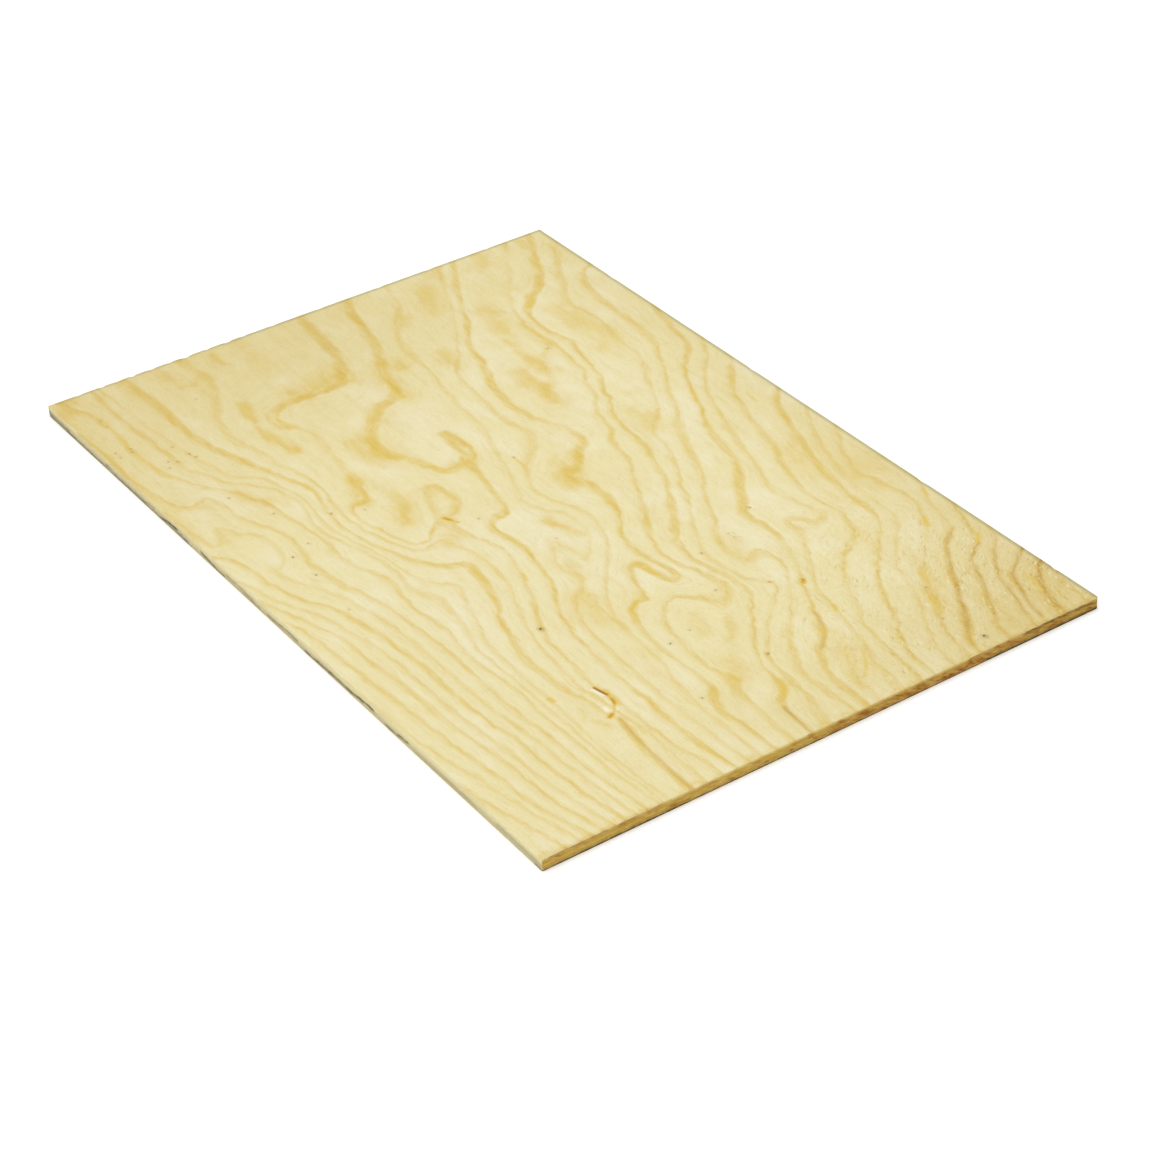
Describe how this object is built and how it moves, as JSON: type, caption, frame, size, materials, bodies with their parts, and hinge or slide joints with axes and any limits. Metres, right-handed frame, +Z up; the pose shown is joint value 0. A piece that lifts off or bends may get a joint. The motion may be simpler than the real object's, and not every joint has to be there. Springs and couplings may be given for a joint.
{
  "type": "plywood sheet",
  "caption": "Flat rectangular plywood sheet of cross-laid softwood veneers with sawn edges and a pale figured face, cut to a small panel for building and shelving.",
  "frame": {"origin": "middle of the underside, where the sheet lies on the floor", "axes": "+X along the length and the face grain, +Y across the width, +Z up through the thickness, out of the good face"},
  "size_m": [0.9, 0.6, 0.012],
  "materials": {
    "face_wood": "matte",
    "crossband_wood": "matte",
    "core_wood": "matte"
  },
  "bodies": {
    "root": {"face_veneer": "face_wood", "upper_crossband": "crossband_wood", "core_veneer": "core_wood", "lower_crossband": "crossband_wood", "back_veneer": "face_wood"}
  },
  "joints": []
}
